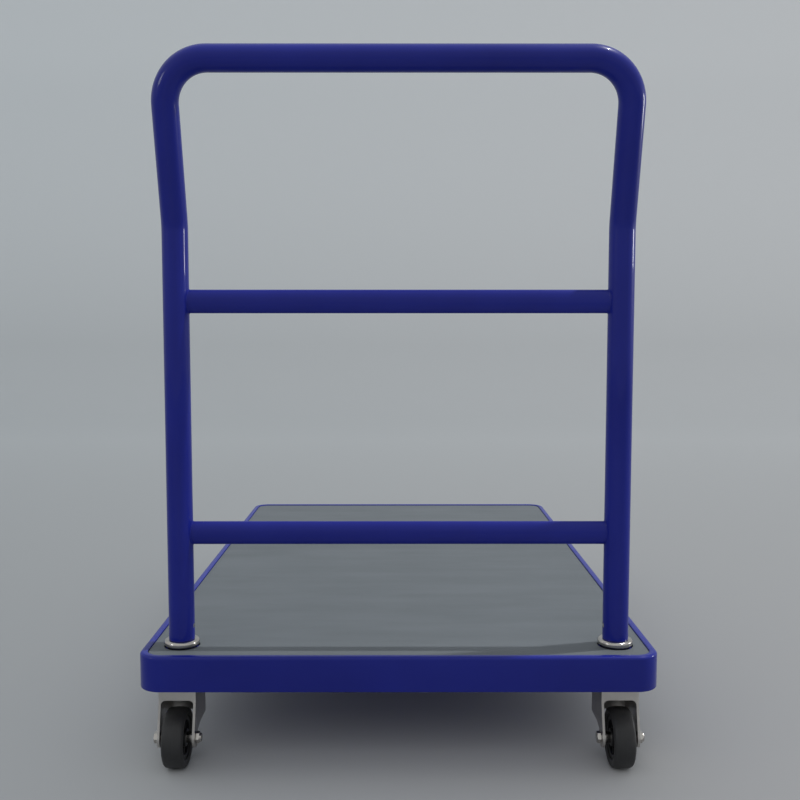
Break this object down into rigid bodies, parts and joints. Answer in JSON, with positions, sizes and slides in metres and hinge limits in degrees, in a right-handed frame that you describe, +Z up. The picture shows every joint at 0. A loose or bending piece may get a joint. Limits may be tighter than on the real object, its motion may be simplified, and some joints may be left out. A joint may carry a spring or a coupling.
{
  "type": "folding platform cart",
  "caption": "Steel platform cart: rimmed deck with an inset mat, bent tube handle with cross bars that folds over the deck, swivel casters at the handle end and fixed casters at the far end.",
  "frame": {"origin": "on the floor under the middle of the cart's overall box, handle grip included", "axes": "+Z up, +Y from the handle end to the far end along the deck, +X across the deck to the right when pushing"},
  "size_m": [0.64, 1.0169, 0.8809],
  "materials": {
    "blue_paint": "glossy deep ultramarine powder coat",
    "deck_rubber": "matt grey sheet, faintly mottled",
    "zinc_plate": "bright zinc plating",
    "wheel_plastic": "black moulded plastic",
    "tyre_rubber": "black rubber, worn satin"
  },
  "bodies": {
    "cart": {"deck_frame": "blue_paint", "deck_mat": "deck_rubber", "channel_front": "blue_paint", "channel_middle": "blue_paint", "channel_rear": "blue_paint", "foot_left": "zinc_plate", "foot_nut_left": "zinc_plate", "caster_plate_front_left": "zinc_plate", "swivel_bearing_front_left": "zinc_plate", "kingpin_front_left": "zinc_plate", "bracket_rear_left": "zinc_plate", "axle_bolt_rear_left": "zinc_plate", "axle_nut_rear_left": "zinc_plate", "axle_sleeve_rear_left": "zinc_plate", "foot_right": "zinc_plate", "foot_nut_right": "zinc_plate", "caster_plate_front_right": "zinc_plate", "swivel_bearing_front_right": "zinc_plate", "kingpin_front_right": "zinc_plate", "bracket_rear_right": "zinc_plate", "axle_bolt_rear_right": "zinc_plate", "axle_nut_rear_right": "zinc_plate", "axle_sleeve_rear_right": "zinc_plate", "mount_screw_front_left_1": "zinc_plate", "mount_screw_front_left_2": "zinc_plate", "mount_screw_front_left_3": "zinc_plate", "mount_screw_front_left_4": "zinc_plate", "mount_screw_front_right_1": "zinc_plate", "mount_screw_front_right_2": "zinc_plate", "mount_screw_front_right_3": "zinc_plate", "mount_screw_front_right_4": "zinc_plate", "mount_screw_rear_left_1": "zinc_plate", "mount_screw_rear_left_2": "zinc_plate", "mount_screw_rear_left_3": "zinc_plate", "mount_screw_rear_left_4": "zinc_plate", "mount_screw_rear_right_1": "zinc_plate", "mount_screw_rear_right_2": "zinc_plate", "mount_screw_rear_right_3": "zinc_plate", "mount_screw_rear_right_4": "zinc_plate"},
    "handle": {"handle_tube": "blue_paint", "crossbar_low": "blue_paint", "crossbar_mid": "blue_paint", "pivot_pin_left": "zinc_plate", "pivot_pin_right": "zinc_plate"},
    "swivel_left": {"fork_front_left": "zinc_plate", "axle_bolt_front_left": "zinc_plate", "axle_nut_front_left": "zinc_plate", "axle_sleeve_front_left": "zinc_plate"},
    "swivel_right": {"fork_front_right": "zinc_plate", "axle_bolt_front_right": "zinc_plate", "axle_nut_front_right": "zinc_plate", "axle_sleeve_front_right": "zinc_plate"},
    "wheel_front_left": {"wheel_core_front_left": "wheel_plastic", "tyre_front_left": "tyre_rubber"},
    "wheel_front_right": {"wheel_core_front_right": "wheel_plastic", "tyre_front_right": "tyre_rubber"},
    "wheel_rear_left": {"wheel_core_rear_left": "wheel_plastic", "tyre_rear_left": "tyre_rubber"},
    "wheel_rear_right": {"wheel_core_rear_right": "wheel_plastic", "tyre_rear_right": "tyre_rubber"}
  },
  "joints": [
    {"name": "handle_fold", "type": "hinge", "parent": "cart", "child": "handle", "pos_m": [0, -0.4405, 0.18045], "axis": [-1, 0, 0], "range_deg": [0, 90]},
    {"name": "caster_swivel_left", "type": "hinge", "parent": "cart", "child": "swivel_left", "pos_m": [-0.28, -0.4165, 0.095], "axis": [0, 0, 1], "continuous": true},
    {"name": "caster_swivel_right", "type": "hinge", "parent": "cart", "child": "swivel_right", "pos_m": [0.28, -0.4165, 0.095], "axis": [0, 0, 1], "continuous": true},
    {"name": "wheel_spin_front_left", "type": "hinge", "parent": "swivel_left", "child": "wheel_front_left", "pos_m": [-0.28, -0.4465, 0.0375], "axis": [1, 0, 0], "continuous": true},
    {"name": "wheel_spin_front_right", "type": "hinge", "parent": "swivel_right", "child": "wheel_front_right", "pos_m": [0.28, -0.4465, 0.0375], "axis": [1, 0, 0], "continuous": true},
    {"name": "wheel_spin_rear_left", "type": "hinge", "parent": "cart", "child": "wheel_rear_left", "pos_m": [-0.28, 0.4335, 0.0375], "axis": [1, 0, 0], "continuous": true},
    {"name": "wheel_spin_rear_right", "type": "hinge", "parent": "cart", "child": "wheel_rear_right", "pos_m": [0.28, 0.4335, 0.0375], "axis": [1, 0, 0], "continuous": true}
  ]
}
